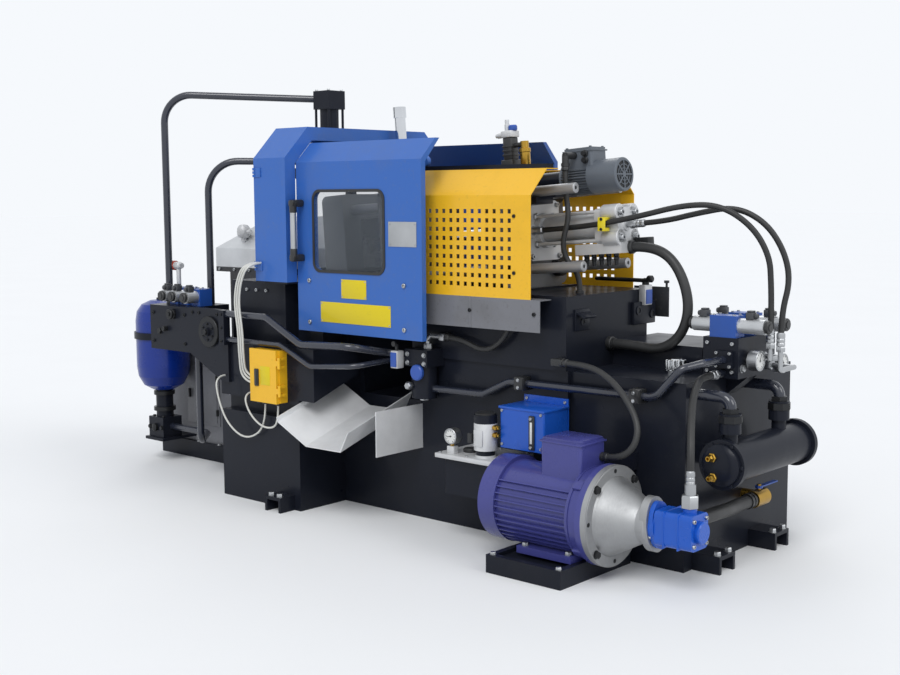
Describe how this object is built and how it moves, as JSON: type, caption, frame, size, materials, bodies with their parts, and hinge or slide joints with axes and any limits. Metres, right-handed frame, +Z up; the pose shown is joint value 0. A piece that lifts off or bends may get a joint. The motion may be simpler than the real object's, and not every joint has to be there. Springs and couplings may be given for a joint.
{
  "type": "die casting machine",
  "caption": "Horizontal hot-chamber die casting machine: inclined clamp with tie bars, sliding safety door, furnace end, shot cylinder, accumulator, oil tank, motor and pump on a welded bed",
  "frame": {"origin": "on the floor under the clamping axis, on the underside of the bed, 10 mm to the moving side of the fixed die's parting face", "axes": "+X along the machine towards the oil tank, -Y the operator side with the sliding door, +Z up"},
  "size_m": [2.929, 1.091, 1.5328],
  "materials": {
    "acc_paint": "gloss enamel, deep blue",
    "aluminium": "turned aluminium casting",
    "apron_paint": "satin enamel, grey",
    "bare_steel": "machined steel",
    "bed_paint": "gloss enamel, very dark blue grey",
    "black_steel": "black enamel",
    "blue_paint": "satin enamel, blue",
    "brass": "plain brass",
    "cast_grey": "machined casting",
    "chrome": "hard chrome",
    "hose_rubber": "black hydraulic hose",
    "motor_paint": "gloss enamel, violet blue",
    "pump_paint": "gloss enamel, bright blue",
    "stainless": "brushed stainless sheet",
    "white_cable": "white cable",
    "window": "clear polycarbonate sheet",
    "yellow_paint": "satin enamel, yellow"
  },
  "bodies": {
    "machine": {"accumulator": "acc_paint", "accumulator_block": "bed_paint", "air_valve_unit": "black_steel", "aprons": "apron_paint", "ball_valve": "brass", "bed_console": "bed_paint", "bed_left": "bed_paint", "bed_middle": "bed_paint", "bell_housing": "aluminium", "chute": "stainless", "clamp_cylinder": "aluminium", "clamp_hoses": "hose_rubber", "conduits": "hose_rubber", "control_box": "yellow_paint", "core_cylinder": "chrome", "die_height_motor": "apron_paint", "door_rail": "bed_paint", "filler_cap": "chrome", "filter_unit": "bed_paint", "fixed_die": "bare_steel", "fixed_platen": "cast_grey", "fume_hood": "stainless", "furnace_base": "bed_paint", "furnace_casing": "apron_paint", "furnace_jacket": "bed_paint", "gear_drum": "bed_paint", "guards": "yellow_paint", "hood_arch": "blue_paint", "hose_ends": "bare_steel", "lube_tank": "pump_paint", "lube_unit": "bare_steel", "main_motor": "motor_paint", "manifold_block": "bed_paint", "motor_pedestal": "bed_paint", "oil_cooler": "bed_paint", "oil_pipes": "bed_paint", "oil_tank": "bed_paint", "pressure_gauges": "black_steel", "pump": "pump_paint", "pump_hose": "hose_rubber", "rear_cover": "blue_paint", "rear_platen": "cast_grey", "shot_cylinder": "bed_paint", "shot_valve_block": "bed_paint", "shot_yoke": "bed_paint", "suction_hose": "hose_rubber", "tie_bars": "chrome", "valve_bodies": "acc_paint", "valve_coils": "bare_steel", "valve_plugs": "black_steel", "white_cables": "white_cable"},
    "door": {"door_panel": "blue_paint", "door_window": "window", "door_handle": "black_steel"},
    "moving_platen_unit": {"moving_platen": "cast_grey", "moving_die": "bare_steel", "clamp_rod": "chrome"},
    "box_door": {"control_box_door": "yellow_paint"},
    "lever": {"valve_lever": "black_steel"}
  },
  "joints": [
    {"name": "door_slide", "type": "slide", "parent": "machine", "child": "door", "axis": [1, 0, 0], "range_m": [0, 0.4]},
    {"name": "clamp_slide", "type": "slide", "parent": "machine", "child": "moving_platen_unit", "axis": [0.9973, 0, 0.0732], "range_m": [0, 0.15]},
    {"name": "box_door_hinge", "type": "hinge", "parent": "machine", "child": "box_door", "pos_m": [-0.109, -0.486, 0.484], "axis": [0, 0, 1], "range_deg": [0, 110]},
    {"name": "lever_hinge", "type": "hinge", "parent": "machine", "child": "lever", "pos_m": [1.44, 0.135, 0.214], "axis": [0, 0, 1], "range_deg": [-90, 0]}
  ]
}
